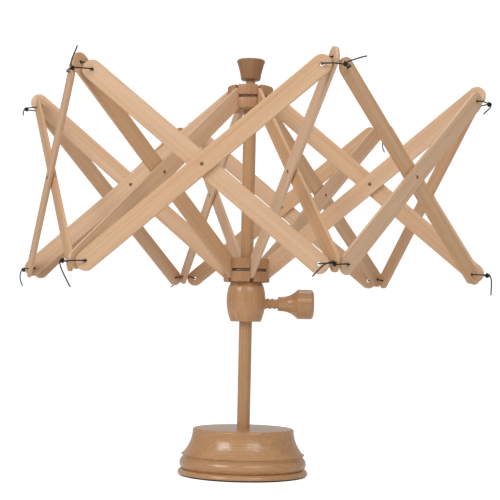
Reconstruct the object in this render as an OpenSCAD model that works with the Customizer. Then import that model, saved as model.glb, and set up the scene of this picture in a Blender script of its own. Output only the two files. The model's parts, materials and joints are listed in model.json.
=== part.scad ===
// Umbrella swift: a wooden yarn holder that opens like an umbrella.
// Six pairs of slats cross between an upper and a lower hub, and a rim of twelve slats ties them
// into a six-sided drum. The lower hub rests on a barrel that a wooden thumbscrew locks on the post.
// Millimetres, +Z up, origin at the middle of the base's underside, front of the swift towards -Y.
// Tips are numbered 1 to 6 counterclockwise seen from above, from the front left one.

/* [Slats] */
// Hub slats, from hinge hole to string hole
slat_l = 292; // [260:1:310]
// Width of every slat
slat_w = 19; // [16:0.5:20]
// Thickness of every slat
slat_t = 3.5; // [3:0.1:3.8]
// Air between two slats that cross
slat_gap = 0.5; // [0.4:0.1:0.8]
// Angle of the hub slats above and below level
spread = 40; // [36:0.5:46]
// Azimuth of tip 1, from the front (-Y) towards +X
first_tip = -42; // [-60:1:0]
// Distance of a hub slat's string hole from its corner of the drum
tip_set = 5; // [4:0.5:7]
// Clearance between the ends of a rim slat and a hub slat
tip_clear = 1; // [0.8:0.05:1.4]
// How far the upper rim holes hang below the upper hub slats' holes
upper_hang = 8; // [6:0.5:9]
// How far the lower rim holes hang below the lower hub slats' holes
lower_hang = 2; // [0:0.5:3]
// Holes that the strings pass through
string_hole = 4; // [3.6:0.1:5]

/* [Rivets] */
// Shank of a rivet
rivet_d = 2; // [1.6:0.1:2.6]
// Head of a rivet
rivet_head_d = 3.8; // [3.2:0.1:5]
// Height of a rivet's head
rivet_head_h = 0.9; // [0.6:0.1:1.4]

/* [Hubs] */
// Diameter of both hubs
hub_d = 50; // [48:0.5:54]
// Height of both hubs
hub_h = 26; // [22:0.5:30]
// Rounding of the hubs' edges
hub_round = 1.6; // [0.8:0.1:2.5]
// Distance of the slats' hinge holes from the axis
hinge_r = 21; // [20.5:0.1:22]
// Width of the slots that the slats swing in
slot_w = 4; // [3.8:0.1:4.4]
// Height of the groove that holds the wire
groove_h = 2.8; // [2.2:0.1:4]
// Wire that the slats hinge on
wire_d = 1.5; // [1.2:0.1:1.8]

/* [Post and knob] */
// Diameter of the post
post_d = 14; // [12:0.5:15]
// Diameter of the post's neck, which the upper hub turns on
neck_d = 10; // [8:0.5:11]
// Height of the shoulder that the upper hub rests on
shoulder_z = 395; // [380:1:410]
// Neck that shows between the upper hub and the knob
neck_show = 8; // [4:0.5:14]
// Height of the knob
knob_h = 22.4; // [18:0.2:28]
// Diameter of the knob at its top
knob_top_d = 31; // [26:0.5:36]
// Diameter of the knob at its foot
knob_foot_d = 21.2; // [18:0.2:26]
// Depth of the neck's socket in the knob
knob_socket = 16; // [10:0.5:17]

/* [Base] */
// Diameter of the base
base_d = 140; // [130:1:150]
// Height of the base, its felt pad included
base_h = 50; // [46:0.5:56]
// Diameter of the base's top
base_top_d = 109.4; // [100:0.2:114]
// Thickness of the felt pad
felt_t = 1.5; // [1:0.1:3]
// Depth of the post's socket in the base
base_socket = 38; // [30:1:44]
// Height of the foot below the bead
foot_h = 6.9; // [6:0.1:8]
// Height of the bead
bead_h = 12.4; // [10:0.1:14]
// Height of the narrow step above the bead
step_h = 3.4; // [2.6:0.1:5]

/* [Barrel and thumbscrew] */
// Height of the barrel
barrel_h = 42.5; // [38:0.5:46]
// Diameter of the barrel at its belly
barrel_d = 42; // [40:0.5:46]
// Diameter of the barrel at its top
barrel_top_d = 34; // [32:0.5:37]
// Diameter of the barrel at its foot
barrel_foot_d = 33.6; // [31:0.2:37]
// Distance of the thumbscrew below the barrel's top
screw_drop = 22.6; // [20:0.2:25]
// Outer diameter of the thumbscrew's thread
thread_d = 11.8; // [10:0.2:13]
// Depth of the thread
thread_depth = 1; // [0.6:0.1:1.4]
// Distance from ridge to ridge of the thread
thread_pitch = 5; // [4:0.25:6]
// Thread that shows outside the barrel
thread_show = 13.6; // [8:0.2:18]
// Diameter of the thumbscrew's neck
screw_neck_d = 15.5; // [14:0.5:18]
// Length of the neck that flares into the head
flare_l = 21; // [16:0.5:26]
// Diameter of the thumbscrew's head
screw_head_d = 32; // [26:0.5:34]
// Thickness of the thumbscrew's head
screw_head_h = 17.8; // [13:0.2:20]

/* [Strings] */
// Diameter of the waxed string
string_d = 1.4; // [1:0.1:1.6]
// Diameter of a knot
knot_d = 5.6; // [4:0.2:6.4]

/* [Fits] */
// Radial clearance of what turns or slides
run_gap = 0.08; // [0.05:0.01:0.1]
// Radial clearance of what is glued
glue_gap = 0.03; // [0.01:0.01:0.05]
// Gap between two faces that turn on each other
face_gap = 0.2; // [0.1:0.05:0.3]

/* [Hidden] */
wood = [0.86, 0.72, 0.54];
varnished = [0.80, 0.62, 0.42];
string_black = [0.07, 0.07, 0.08];
steel = [0.62, 0.63, 0.65];
rivet_grey = [0.45, 0.43, 0.40];

TIPS = [1 : 6];

$fn = 64;

// Places along the axis
layer = (slat_t + slat_gap) / 2;
upper_z = shoulder_z + face_gap + hub_h / 2;
lower_z = upper_z - slat_l * sin(spread);
barrel_top = lower_z - hub_h / 2 - face_gap;
screw_z = barrel_top - screw_drop;
knob_z = upper_z + hub_h / 2 + neck_show;

// The drum: its corners, and the rim holes set back from them
corner_r = hinge_r + slat_l * cos(spread) + tip_set;
apothem = corner_r * cos(30);
rim_set = slat_w / 2 + (slat_gap / 4 + slat_t + tip_clear) / cos(30);
rim_span = corner_r - 2 * rim_set;
upper_rim_z = upper_z - upper_hang;
lower_rim_z = lower_z - lower_hang;
rim_rise = upper_rim_z - lower_rim_z;
rim_l = norm([rim_span, rim_rise]);
rim_angle = atan2(rim_rise, rim_span);

// The hinge wires
wire_ring_r = norm([hinge_r, layer]);
groove_r = wire_ring_r - wire_d / 2 - glue_gap;
hinge_hole = wire_d + 0.7;
slot_r = hinge_r - slat_w / 2 - 0.3;

// Base, from the felt pad up
foot_top = felt_t + 0.6 + foot_h - 2.1;
bead_top = foot_top + bead_h;
step_top = bead_top + step_h;
neck_round = 2.5;

// The thumbscrew, from the post outwards
screw_tip = post_d / 2 + 0.3;
screw_out = barrel_d / 2 + thread_show;

// Strings in a tip's own frame: x outwards from the corner, y counterclockwise, z above the rim holes
upper_loop = [
    [8.0, 2.4, -1], [7.2, -1.2, -0.6], [5.8, -5.0, -0.2], [3.8, -8.8, 0], [1.4, -12.6, 0],
    [-1.8, -15.4, 0], [-4.9, -14.3, 0], [-7.5, -12.9, 0.3], [-9.4, -11.0, 2], [-8.8, -8.6, 5],
    [-6.6, -6.4, 7.4], [-5, -3.6, 8], [-5, -0.2, 8], [-6.6, 2.6, 7.8], [-9.2, 4.8, 6.0],
    [-11.8, 7.0, 3.2], [-12.7, 9.3, 0.6], [-10.2, 11.3, 0], [-7.0, 13.0, 0], [-3.8, 13.6, 0],
    [-0.4, 12.2, 0], [2.8, 9.6, 0], [5.6, 6.8, 0.2], [8.2, 4.4, 0.4]];
lower_loop = [
    [8.0, -2.4, -1], [7.2, 1.2, -0.6], [5.8, 5.0, -0.2], [3.8, 8.8, 0], [1.4, 12.6, 0],
    [-1.8, 15.4, 0], [-4.9, 14.3, 0], [-7.9, 12.6, 0], [-10.2, 10.2, 0.6], [-9.5, 7.2, 1.2],
    [-6.6, 5.9, 1.8], [-5, 3.4, 2], [-5, 0.4, 2], [-6.8, -1.9, 1.9], [-9.4, -4.0, 1.6],
    [-12.0, -6.4, 1.0], [-12.7, -9.4, 0.4], [-10.2, -11.3, 0], [-7.0, -13.1, 0], [-3.8, -13.6, 0],
    [-0.4, -12.2, 0], [2.8, -9.6, 0], [5.6, -6.8, 0.2], [8.2, -4.4, 0.4]];

// Bow: points on the arc from a to b that swells by s to the right of the way from a to b
function bow(a, b, s, n = 8) =
    let (d = b - a, l = norm(d), u = d / l, v = [u.y, -u.x], half = 2 * atan(2 * s / l))
    let (r = l / (2 * sin(half)), c = (a + b) / 2 + v * (s - r))
    [for (i = [0 : n]) let (t = half * (2 * i / n - 1)) c + r * (v * cos(t) + u * sin(t))];

// Swell of a quarter circle of radius r
function quarter(r) = r * (1 - sqrt(0.5));

// Directions along a route, and a side direction carried along it without twisting
function unit(v) = v / norm(v);
function along(p, i) = unit(p[min(i + 1, len(p) - 1)] - p[max(i - 1, 0)]);
function square_to(v, t) = unit(v - (v * t) * t);
function sides(p) =
    [for (i = 0, v = square_to([0, 0.1, 1], along(p, 0)); i < len(p);
          i = i + 1, v = square_to(v, along(p, min(i, len(p) - 1)))) v];

// Tube: one closed skin of diameter d along the route p
module tube(p, d, n = 8) {
    v = sides(p);
    last = len(p) - 1;
    skin = [for (i = [0 : last], j = [0 : n - 1])
        let (t = along(p, i), a = 360 * j / n)
        p[i] + d / 2 * (v[i] * cos(a) + cross(t, v[i]) * sin(a))];
    walls = [for (i = [0 : last - 1], j = [0 : n - 1])
        let (a = i * n + j, b = i * n + (j + 1) % n)
        each [[a, b + n, b], [a, a + n, b + n]]];
    ends = [[for (j = [0 : n - 1]) j], [for (j = [n - 1 : -1 : 0]) last * n + j]];
    polyhedron(skin, concat(walls, ends));
}

// Turns what follows so that x points out at tip k and y runs counterclockwise
module at_tip(k) {
    rotate([0, 0, first_tip + 60 * (k - 1) - 90]) children();
}

// The same half way between tip k and the next
module at_face(k) {
    at_tip(k + 0.5) children();
}

// Slat from the origin along x, flat side to y, with a hole at each end and one in the middle
module slat(l, start_d, middle_d, end_d) {
    difference() {
        rotate([90, 0, 0]) linear_extrude(slat_t, center = true) {
            translate([0, -slat_w / 2]) square([l, slat_w]);
            circle(d = slat_w);
            translate([l, 0]) circle(d = slat_w);
        }
        slat_bore(0, start_d);
        slat_bore(l / 2, middle_d);
        slat_bore(l, end_d);
    }
}

module slat_bore(x, d) {
    translate([x, 0, 0]) rotate([90, 0, 0]) cylinder(d = d, h = slat_t + 1, center = true);
}

// Rivet along y through two slats, the first of them on the side that sign gives
module rivet(sign) {
    grip = slat_t + slat_gap / 2;
    rotate([-90, 0, 0]) {
        cylinder(d = rivet_d, h = 2 * grip + 2 * 0.05, center = true);
        for (end = [-1, 1]) {
            slack = end == sign ? 0 : 0.05;
            mirror([0, 0, end < 0 ? 1 : 0]) translate([0, 0, grip + slack]) rivet_head();
        }
    }
}

module rivet_head() {
    rotate_extrude() polygon(concat(
        [[0, 0]],
        bow([rivet_head_d / 2, 0], [0, rivet_head_h], rivet_head_h * 0.35)));
}

module hub(z, bore_d, side) {
    r = hub_d / 2;
    translate([0, 0, z]) difference() {
        rotate_extrude() polygon(concat(
            [[bore_d / 2, -hub_h / 2]],
            bow([r - hub_round, -hub_h / 2], [r, -hub_h / 2 + hub_round], quarter(hub_round)),
            bow([r, -groove_h / 2 - 0.8], [r - 0.8, -groove_h / 2], quarter(0.8), 4),
            [[groove_r, -groove_h / 2], [groove_r, groove_h / 2]],
            bow([r - 0.8, groove_h / 2], [r, groove_h / 2 + 0.8], quarter(0.8), 4),
            bow([r, hub_h / 2 - hub_round], [r - hub_round, hub_h / 2], quarter(hub_round)),
            [[bore_d / 2, hub_h / 2]]));
        for (k = TIPS) at_tip(k)
            translate([slot_r, side * layer - slot_w / 2, -hub_h / 2 - 1])
                cube([hub_d / 2, slot_w, hub_h + 2]);
    }
}

module wire_ring(z) {
    translate([0, 0, z]) rotate_extrude() translate([wire_ring_r, 0]) circle(d = wire_d, $fn = 24);
}

module base() {
    top_r = base_top_d / 2;
    step_r = base_d / 2 - 3.5;
    socket_r = post_d / 2 + glue_gap;
    rim_z = base_h - neck_round;
    color(varnished) rotate_extrude($fn = 96) polygon(concat(
        [[0, felt_t], [base_d / 2 - 0.6, felt_t], [base_d / 2, felt_t + 0.6]],
        bow([base_d / 2, felt_t + 0.8], [base_d / 2 - 4.6, foot_top], quarter(4.6)),
        bow([base_d / 2 - 4.8, foot_top], [base_d / 2 - 5.2, bead_top], 3.2, 12),
        bow([base_d / 2 - 5.5, bead_top], [step_r, step_top - 0.4], -0.6, 4),
        [for (i = [0 : 12]) let (s = i / 12)
            [top_r + (step_r - 1.5 - top_r) * pow(1 - s, 2), step_top + (rim_z - step_top) * s]],
        bow([top_r, rim_z], [top_r - neck_round, base_h], quarter(neck_round)),
        [[socket_r, base_h], [socket_r, base_h - base_socket], [0, base_h - base_socket]]));
}

module felt_pad() {
    color(string_black) cylinder(d = base_d - 3, h = felt_t, $fn = 96);
}

module post() {
    foot_z = base_h - base_socket;
    color(varnished) {
        translate([0, 0, foot_z]) cylinder(d = post_d, h = shoulder_z - foot_z);
        translate([0, 0, shoulder_z]) cylinder(d = neck_d, h = knob_z + knob_socket - shoulder_z);
    }
}

module knob() {
    top_r = knob_top_d / 2;
    foot_r = knob_foot_d / 2;
    socket_r = neck_d / 2 + glue_gap;
    color(varnished) translate([0, 0, knob_z]) rotate_extrude() polygon(concat(
        [[socket_r, 0]],
        bow([foot_r - 1, 0], [foot_r, 1], quarter(1), 4),
        bow([foot_r + 0.1, 1.4], [top_r, knob_h - 2], -0.5, 8),
        bow([top_r, knob_h - 2], [top_r - 2, knob_h], quarter(2), 6),
        [[0, knob_h], [0, knob_socket], [socket_r, knob_socket]]));
}

module upper_hub() {
    color(wood) hub(upper_z, neck_d + 2 * run_gap, 1);
}

module upper_wire() {
    color(steel) wire_ring(upper_z);
}

module lower_hub() {
    color(wood) hub(lower_z, post_d + 2 * run_gap, -1);
}

module lower_wire() {
    color(steel) wire_ring(lower_z);
}

module barrel() {
    bore_r = post_d / 2 + run_gap;
    top_r = barrel_top_d / 2;
    foot_r = barrel_foot_d / 2;
    shoulder = [top_r + 2.3, -5.2];
    chord_r = (foot_r + shoulder.x) / 2;
    color(varnished) translate([0, 0, barrel_top]) difference() {
        rotate_extrude() polygon(concat(
            [[bore_r, -barrel_h], [foot_r - 1, -barrel_h]],
            bow([foot_r, 1 - barrel_h], shoulder, barrel_d / 2 - chord_r, 16),
            [[top_r, 0], [bore_r, 0]]));
        translate([0, 0, -screw_drop]) rotate([0, 90, 0])
            cylinder(d = thread_d + 2 * run_gap, h = barrel_d);
    }
}

module thumbscrew() {
    thread_r = thread_d / 2;
    root_r = thread_r - thread_depth;
    ridges = floor((screw_out - screw_tip - 1) / thread_pitch);
    head_x = screw_out + flare_l;
    head_r = screw_head_d / 2;
    neck_r = screw_neck_d / 2;
    color(varnished) translate([0, 0, screw_z]) rotate([0, 90, 0]) rotate_extrude() polygon(concat(
        [[0, screw_tip], [root_r, screw_tip]],
        [for (i = [ridges - 1 : -1 : 0]) let (x = screw_out - thread_pitch * (i + 0.5))
            each [[root_r, x - thread_pitch * 0.3], [thread_r, x - thread_pitch * 0.1],
                  [thread_r, x + thread_pitch * 0.1], [root_r, x + thread_pitch * 0.3]]],
        [[root_r, screw_out], [neck_r - 1, screw_out]],
        [for (i = [0 : 12]) let (s = i / 12)
            [neck_r + (head_r - 0.5 - neck_r) * pow(s, 2.6), screw_out + 0.8 + (flare_l - 0.8) * s]],
        bow([head_r - 0.4, head_x + 0.2], [head_r, head_x + 2], 0.2, 4),
        bow([head_r, head_x + screw_head_h - 4], [head_r - 4, head_x + screw_head_h], quarter(4)),
        [[0, head_x + screw_head_h]]));
}

module upper_hub_slat(k) {
    color(wood) at_tip(k) translate([hinge_r, layer, upper_z]) rotate([0, spread, 0])
        slat(slat_l, hinge_hole, rivet_d + 2 * glue_gap, string_hole);
}

module lower_hub_slat(k) {
    color(wood) at_tip(k) translate([hinge_r, -layer, lower_z]) rotate([0, -spread, 0])
        slat(slat_l, hinge_hole, rivet_d + 2 * run_gap, string_hole);
}

module inner_rim_slat(k) {
    color(wood) at_face(k) translate([apothem - layer, -rim_span / 2, upper_rim_z])
        rotate([-rim_angle, 0, 0]) rotate([0, 0, 90])
            slat(rim_l, string_hole, rivet_d + 2 * glue_gap, string_hole);
}

module outer_rim_slat(k) {
    color(wood) at_face(k) translate([apothem + layer, -rim_span / 2, lower_rim_z])
        rotate([rim_angle, 0, 0]) rotate([0, 0, 90])
            slat(rim_l, string_hole, rivet_d + 2 * run_gap, string_hole);
}

module hub_slat_rivet(k) {
    x = hinge_r + slat_l * cos(spread) / 2;
    color(rivet_grey) at_tip(k) translate([x, 0, (upper_z + lower_z) / 2]) rivet(1);
}

module rim_slat_rivet(k) {
    color(rivet_grey) at_face(k) translate([apothem, 0, (upper_rim_z + lower_rim_z) / 2])
        rotate([0, 0, -90]) rivet(-1);
}

// A tie laces the three slats of a tip together and ends in a knot and a short tail
module tie(k, z, loop, tail) {
    route = concat(loop, tail);
    color(string_black) at_tip(k) translate([corner_r, 0, z]) {
        tube(route, string_d);
        translate((loop[0] + loop[len(loop) - 1]) / 2) sphere(d = knot_d, $fn = 24);
    }
}

upper_tails = [
    [[10.4, 3.6, 1.6], [11.4, 5.2, 5.4], [11.2, 7.2, 10.2], [10.4, 9.4, 15.2], [9.6, 11.2, 20.0]],
    [[10.8, 5.4, 1.2], [12.0, 9.0, 2.8], [12.6, 13.4, 4.4], [13.0, 17.8, 6.0], [13.4, 22.2, 7.2]],
    [[9.6, 1.8, -1.6], [9.2, -1.8, -4.4], [7.4, -5.4, -7.2], [5.0, -8.6, -10.0], [2.4, -11.4, -12.8]],
    [[10.8, 5.0, -2.4], [11.8, 7.2, -6.2], [12.2, 8.4, -10.8], [12.6, 7.6, -15.4], [13.0, 5.6, -19.8]],
    [[10.8, 4.0, -1.2], [12.0, 4.4, -4.2], [12.4, 4.8, -7.6]],
    [[10.6, 3.8, -1.2], [11.8, 3.6, -4.2], [12.0, 2.8, -7.4]]];

lower_tails = [
    [[10.8, -3.4, -1.4], [11.9, -1.4, -5.2], [12.0, 1.6, -10.0], [11.6, 5.0, -15.2],
     [11.2, 8.6, -20.2], [10.8, 12.2, -25.0]],
    [[10.2, -7.4, 0.6], [11.4, -11.6, 0.0], [12.0, -15.8, -2.2], [12.4, -19.6, -5.4],
     [12.6, -23.2, -9.0], [12.6, -26.6, -12.6]],
    [[10.8, -3.6, -1.2], [12.0, -3.8, -5.0], [12.2, -3.8, -10.0], [12.0, -3.8, -15.4], [11.8, -3.8, -21.0]],
    [[10.8, -4.0, 0.6], [12.0, -3.8, 3.6], [12.2, -3.4, 7.4], [12.0, -3.0, 11.2]],
    [[10.8, -3.2, -1.4], [13.0, -0.6, -3.4], [14.4, 4.0, -5.6], [14.8, 8.8, -8.2], [14.6, 13.4, -11.4]],
    [[10.8, -3.8, -1.4], [12.2, -4.0, -5.2], [12.4, -4.2, -10.0], [11.2, -4.4, -14.6], [9.2, -4.6, -18.8]]];

module upper_tie(k) {
    tie(k, upper_rim_z, upper_loop, upper_tails[k - 1]);
}

module lower_tie(k) {
    tie(k, lower_rim_z, lower_loop, lower_tails[k - 1]);
}

base();
felt_pad();
post();
knob();
upper_hub();
upper_wire();
lower_hub();
lower_wire();
barrel();
thumbscrew();
for (k = TIPS) {
    upper_hub_slat(k);
    lower_hub_slat(k);
    inner_rim_slat(k);
    outer_rim_slat(k);
    hub_slat_rivet(k);
    rim_slat_rivet(k);
    upper_tie(k);
    lower_tie(k);
}
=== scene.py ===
# %% [markdown]
# # An umbrella swift in beech
# A swift holds a skein of yarn while it is wound into a ball. Six pairs of thin slats cross between
# two hubs on a post, and twelve more cross round the rim, so the whole drum opens like an umbrella.
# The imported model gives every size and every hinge. This lesson dresses it: slats with eased edges,
# turned wood under varnish, black waxed string and its knots, wire, rivets and felt.

# %% Load the frame
import json

import bmesh
import bpy
import numpy as np
from mathutils import Matrix, Vector


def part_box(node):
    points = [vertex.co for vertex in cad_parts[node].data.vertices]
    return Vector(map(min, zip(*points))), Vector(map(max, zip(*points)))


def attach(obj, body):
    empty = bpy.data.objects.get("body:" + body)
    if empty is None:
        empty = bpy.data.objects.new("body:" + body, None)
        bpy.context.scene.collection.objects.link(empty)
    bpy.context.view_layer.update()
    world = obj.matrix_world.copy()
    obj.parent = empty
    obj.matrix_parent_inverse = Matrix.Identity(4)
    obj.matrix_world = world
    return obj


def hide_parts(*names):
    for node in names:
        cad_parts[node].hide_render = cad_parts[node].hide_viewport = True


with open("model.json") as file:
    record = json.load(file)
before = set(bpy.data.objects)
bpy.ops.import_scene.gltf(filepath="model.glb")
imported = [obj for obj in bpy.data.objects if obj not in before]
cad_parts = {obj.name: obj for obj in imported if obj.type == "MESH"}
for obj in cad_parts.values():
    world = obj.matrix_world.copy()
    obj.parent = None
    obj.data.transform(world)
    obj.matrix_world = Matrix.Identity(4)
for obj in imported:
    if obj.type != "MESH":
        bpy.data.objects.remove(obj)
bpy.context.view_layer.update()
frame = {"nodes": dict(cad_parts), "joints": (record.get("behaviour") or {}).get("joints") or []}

hinges = {joint["name"]: joint for joint in frame["joints"]}
TIPS = range(1, 7)
UP = np.array([0.0, 0.0, 1.0])
print("nodes:", len(frame["nodes"]), "hinges:", len(hinges))


def hinge_point(name):
    """The point that a joint turns about, in metres."""
    return np.array(hinges[name]["pos_m"])


def hinge_axis(name):
    """The direction that a joint turns about, as a unit vector."""
    axis = np.array(hinges[name]["axis"], float)
    return axis / np.linalg.norm(axis)


def unit(v):
    """v divided by its length, for one vector or for rows of them."""
    return v / np.linalg.norm(v, axis=-1, keepdims=True)


# %% [markdown]
# ## The camera
# The photograph was taken from the front, a little above the table and from about 1.4 m away, with
# a long lens that tips up slightly. Its place came from matching the slats' tips, the knob and the
# base. The real swift leans a little and its upper ring is tilted, and a small roll of the camera
# shares that out, because the model stands upright.

# %% Place the camera
CAMERA_PLACE = (-0.0137, -1.3806, 0.1644)
CAMERA_YAW, CAMERA_PITCH, CAMERA_ROLL = np.radians([0.70, 3.25, 1.21])
LENS_MM = 91.4

forward = np.array([np.sin(CAMERA_YAW) * np.cos(CAMERA_PITCH),
                    np.cos(CAMERA_YAW) * np.cos(CAMERA_PITCH),
                    np.sin(CAMERA_PITCH)])
level = np.array([np.cos(CAMERA_YAW), -np.sin(CAMERA_YAW), 0.0])
above = np.cross(level, forward)
right = level * np.cos(CAMERA_ROLL) + above * np.sin(CAMERA_ROLL)
camera_up = above * np.cos(CAMERA_ROLL) - level * np.sin(CAMERA_ROLL)

camera = bpy.data.objects.new("camera", bpy.data.cameras.new("camera"))
bpy.context.scene.collection.objects.link(camera)
camera.data.lens = LENS_MM
camera.data.sensor_width = 36
camera.matrix_world = Matrix.Translation(CAMERA_PLACE) @ Matrix(
    np.column_stack([right, camera_up, -forward]).tolist()).to_4x4()
bpy.context.scene.camera = camera
print("camera at", CAMERA_PLACE)

# %% [markdown]
# ## From grids to meshes
# Every new shape here is a surface worked out by numpy: a grid of points, as a function of two
# parameters. A piece is made of one or more grids, sewn together where their edges meet. The same
# helper does the sewing, turns the faces outwards, smooths what is round and keeps real edges sharp.

# %% Sew grids into a piece
def grid_faces(rows, columns, close_rows, close_columns):
    """Four-cornered faces between neighbours of a grid, numbered row by row."""
    i = np.arange(rows if close_rows else rows - 1)[:, None]
    j = np.arange(columns if close_columns else columns - 1)[None, :]
    a = i * columns + j
    b = i * columns + (j + 1) % columns
    down = (i + 1) % rows * columns
    return np.stack([a, b, down + (j + 1) % columns, down + j], -1).reshape(-1, 4)


def piece(name, grids, place, body, nodes, sharp=35):
    """One mesh from grids of points (each with its two closing flags), put at place and sewn."""
    points, faces, start = [], [], 0
    for grid, close_rows, close_columns in grids:
        rows, columns = grid.shape[:2]
        faces.append(grid_faces(rows, columns, close_rows, close_columns) + start)
        points.append(grid.reshape(-1, 3))
        start += rows * columns
    points = np.concatenate(points)
    placed = points @ place[:3, :3].T + place[:3, 3]
    mesh = bpy.data.meshes.new(name)
    mesh.from_pydata(placed.tolist(), [], np.concatenate(faces).tolist())
    return sew(name, mesh, body, nodes, sharp)


def sew(name, mesh, body, nodes, sharp):
    """Merge the grids' shared edges, turn the faces outwards, attach the piece to its body and hide the
    nodes it replaces.
    """
    work = bmesh.new()
    work.from_mesh(mesh)
    bmesh.ops.remove_doubles(work, verts=work.verts, dist=2e-6)
    bmesh.ops.dissolve_degenerate(work, edges=work.edges, dist=1e-7)
    bmesh.ops.recalc_face_normals(work, faces=work.faces)
    work.to_mesh(mesh)
    work.free()
    mesh.polygons.foreach_set("use_smooth", np.ones(len(mesh.polygons), bool))
    mesh.set_sharp_from_angle(angle=np.radians(sharp))
    thing = bpy.data.objects.new(name, mesh)
    bpy.context.scene.collection.objects.link(thing)
    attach(thing, body)
    if nodes:
        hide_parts(*nodes)
    return thing


def placing(origin, x, y, z):
    """The 4 by 4 matrix that puts local x, y and z along three directions, from origin."""
    place = np.eye(4)
    place[:3, :3] = np.column_stack([x, y, z])
    place[:3, 3] = origin
    return place


# %% [markdown]
# ## Wood remembers the plank it was cut from
# A pattern in wood runs through the piece, so each piece stores where its points lay in the plank.
# The attribute "grain" holds that place in metres, with x along the fibres, and each piece is cut
# from another spot. "tone" is how warm that plank is. Both travel with the mesh, so the pattern
# stays put when the drum folds. A tone above 1 paints a piece darker than its plank: painted shade,
# used on the knob.

# %% Store the grain with a mesh
rng = np.random.default_rng(7)


def give_grain(thing, place, tone=None):
    """Write grain = the point in the piece's own axes plus a spot in the plank, and the tone."""
    mesh = thing.data
    count = len(mesh.vertices)
    flat = np.empty(count * 3)
    mesh.vertices.foreach_get("co", flat)
    local = (flat.reshape(-1, 3) - place[:3, 3]) @ place[:3, :3]
    spot = rng.uniform([-4, -0.4, -0.4], [4, 0.4, 0.4])
    grain = mesh.attributes.new("grain", "FLOAT_VECTOR", "POINT")
    grain.data.foreach_set("vector", (local + spot).ravel())
    warm = rng.uniform(0, 1) if tone is None else tone
    mesh.attributes.new("tone", "FLOAT", "POINT").data.foreach_set("value", np.full(count, warm))


# %% [markdown]
# ## The string ties
# At each tip a short waxed string laces three slats together: it goes in through one rim slat,
# across through the hub slat and out through the other rim slat, and is knotted outside the corner
# with a tail of a centimetre or two. The routes are the same points as in the solid model. A smooth
# curve through them is the path, and a three-strand section is carried along it with a steady twist.

# %% Routes of the ties, from each corner
UPPER_LOOP = np.array([
    (0.0080, 0.0024, -0.0010), (0.0072, -0.0012, -0.0006), (0.0058, -0.0050, -0.0002),
    (0.0038, -0.0088, 0), (0.0014, -0.0126, 0), (-0.0018, -0.0154, 0), (-0.0049, -0.0143, 0),
    (-0.0075, -0.0129, 0.0003), (-0.0094, -0.0110, 0.0020), (-0.0088, -0.0086, 0.0050),
    (-0.0066, -0.0064, 0.0074), (-0.0050, -0.0036, 0.0080), (-0.0050, -0.0002, 0.0080),
    (-0.0066, 0.0026, 0.0078), (-0.0092, 0.0048, 0.0060), (-0.0118, 0.0070, 0.0032),
    (-0.0127, 0.0093, 0.0006), (-0.0102, 0.0113, 0), (-0.0070, 0.0130, 0), (-0.0038, 0.0136, 0),
    (-0.0004, 0.0122, 0), (0.0028, 0.0096, 0), (0.0056, 0.0068, 0.0002), (0.0082, 0.0044, 0.0004)])
LOWER_LOOP = np.array([
    (0.0080, -0.0024, -0.0010), (0.0072, 0.0012, -0.0006), (0.0058, 0.0050, -0.0002),
    (0.0038, 0.0088, 0), (0.0014, 0.0126, 0), (-0.0018, 0.0154, 0), (-0.0049, 0.0143, 0),
    (-0.0079, 0.0126, 0), (-0.0102, 0.0102, 0.0006), (-0.0095, 0.0072, 0.0012),
    (-0.0066, 0.0059, 0.0018), (-0.0050, 0.0034, 0.0020), (-0.0050, 0.0004, 0.0020),
    (-0.0068, -0.0019, 0.0019), (-0.0094, -0.0040, 0.0016), (-0.0120, -0.0064, 0.0010),
    (-0.0127, -0.0094, 0.0004), (-0.0102, -0.0113, 0), (-0.0070, -0.0131, 0),
    (-0.0038, -0.0136, 0), (-0.0004, -0.0122, 0), (0.0028, -0.0096, 0),
    (0.0056, -0.0068, 0.0002), (0.0082, -0.0044, 0.0004)])
UPPER_TAILS = [
    [(0.0104, 0.0036, 0.0016), (0.0114, 0.0052, 0.0054), (0.0112, 0.0072, 0.0102),
     (0.0104, 0.0094, 0.0152), (0.0096, 0.0112, 0.0200)],
    [(0.0108, 0.0054, 0.0012), (0.0120, 0.0090, 0.0028), (0.0126, 0.0134, 0.0044),
     (0.0130, 0.0178, 0.0060), (0.0134, 0.0222, 0.0072)],
    [(0.0096, 0.0018, -0.0016), (0.0092, -0.0018, -0.0044), (0.0074, -0.0054, -0.0072),
     (0.0050, -0.0086, -0.0100), (0.0024, -0.0114, -0.0128)],
    [(0.0108, 0.0050, -0.0024), (0.0118, 0.0072, -0.0062), (0.0122, 0.0084, -0.0108),
     (0.0126, 0.0076, -0.0154), (0.0130, 0.0056, -0.0198)],
    [(0.0108, 0.0040, -0.0012), (0.0120, 0.0044, -0.0042), (0.0124, 0.0048, -0.0076)],
    [(0.0106, 0.0038, -0.0012), (0.0118, 0.0036, -0.0042), (0.0120, 0.0028, -0.0074)]]
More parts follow.
